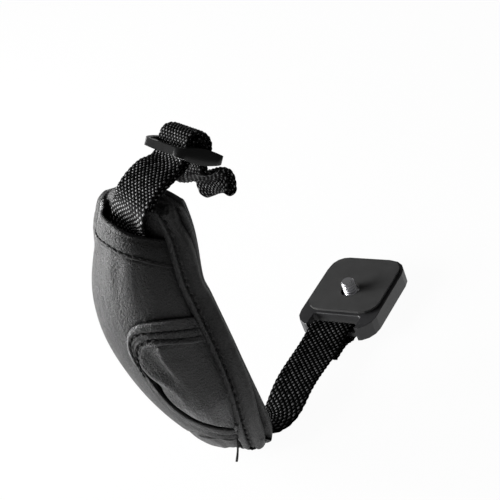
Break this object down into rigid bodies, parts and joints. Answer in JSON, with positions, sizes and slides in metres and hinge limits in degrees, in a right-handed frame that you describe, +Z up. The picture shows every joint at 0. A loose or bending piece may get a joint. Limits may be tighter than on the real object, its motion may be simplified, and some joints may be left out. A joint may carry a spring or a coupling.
{
  "type": "camera wrist strap",
  "caption": "Padded leather hand grip on a looped web with a slide buckle, for holding a camera one-handed, with a base plate and screw for the tripod socket.",
  "frame": {"origin": "on the tripod screw's axis, in the top face of the rubber pad, which is where the camera's base rests", "axes": "+Z up through the camera along the screw, -Y towards the camera's front, and the grip on the -X side"},
  "size_m": [0.136, 0.0778, 0.135],
  "materials": {
    "grip_leather": "soft sheen with fine creases",
    "lining": "matt brushed",
    "web": "woven with small bright specks",
    "black_plastic": "satin",
    "seat_rubber": "matt",
    "screw_steel": "turned and plated"
  },
  "bodies": {
    "strap": {"hand_pad": "grip_leather", "pad_lining": "lining", "cover": "grip_leather", "mouth_hem": "grip_leather", "front_welt": "grip_leather", "back_welt": "grip_leather", "pocket_panel": "grip_leather", "pocket_hem": "grip_leather", "webbing": "web", "slide_buckle": "black_plastic", "base_plate": "black_plastic", "rubber_pad": "seat_rubber"},
    "screw": {"tripod_screw": "screw_steel", "screw_clip": "screw_steel"}
  },
  "joints": [
    {"name": "screw_turn", "type": "hinge", "parent": "strap", "child": "screw", "pos_m": [0, 0, -0.003], "axis": [0, 0, 1], "continuous": true}
  ]
}
